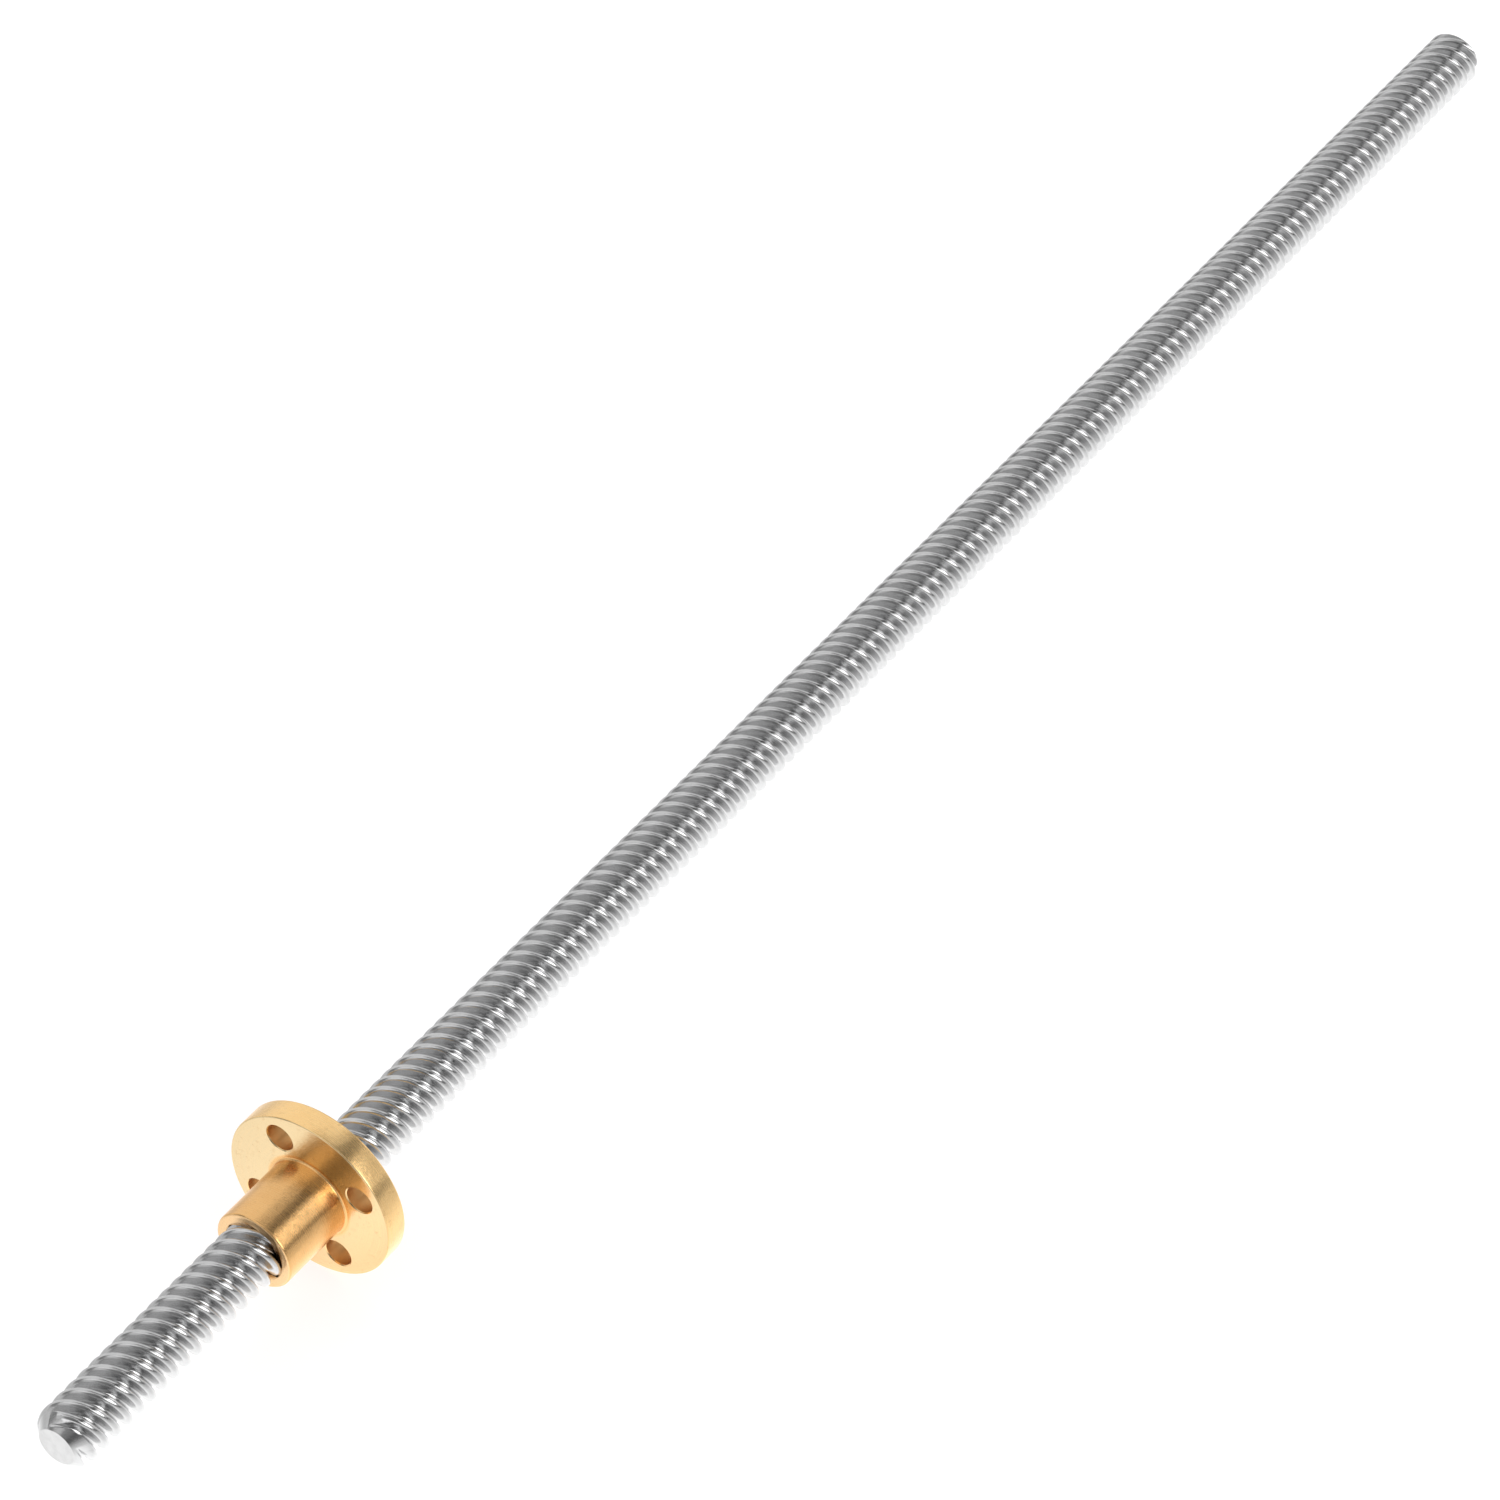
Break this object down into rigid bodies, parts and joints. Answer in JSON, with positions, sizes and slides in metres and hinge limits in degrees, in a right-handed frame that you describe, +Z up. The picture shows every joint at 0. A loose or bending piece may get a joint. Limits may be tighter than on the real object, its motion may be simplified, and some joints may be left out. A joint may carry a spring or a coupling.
{
  "type": "lead screw with flanged nut",
  "caption": "Long straight steel screw with a multi-start trapezoidal thread, carrying a brass nut with a round flange and bolt holes.",
  "frame": {"origin": "on the floor under the middle of the screw's length, straight below its axis", "axes": "+X along the screw from the end that the nut is near to the far end, +Z up"},
  "size_m": [0.3, 0.022, 0.022],
  "materials": {
    "screw_steel": "bright rolled steel",
    "nut_brass": "fine-turned brass"
  },
  "bodies": {
    "screw": {"lead_screw": "screw_steel"},
    "nut": {"flange_nut": "nut_brass"}
  },
  "joints": [
    {"name": "nut_travel", "type": "slide", "parent": "screw", "child": "nut", "axis": [1, 0, 0], "range_m": [-0.032, 0.248]}
  ]
}
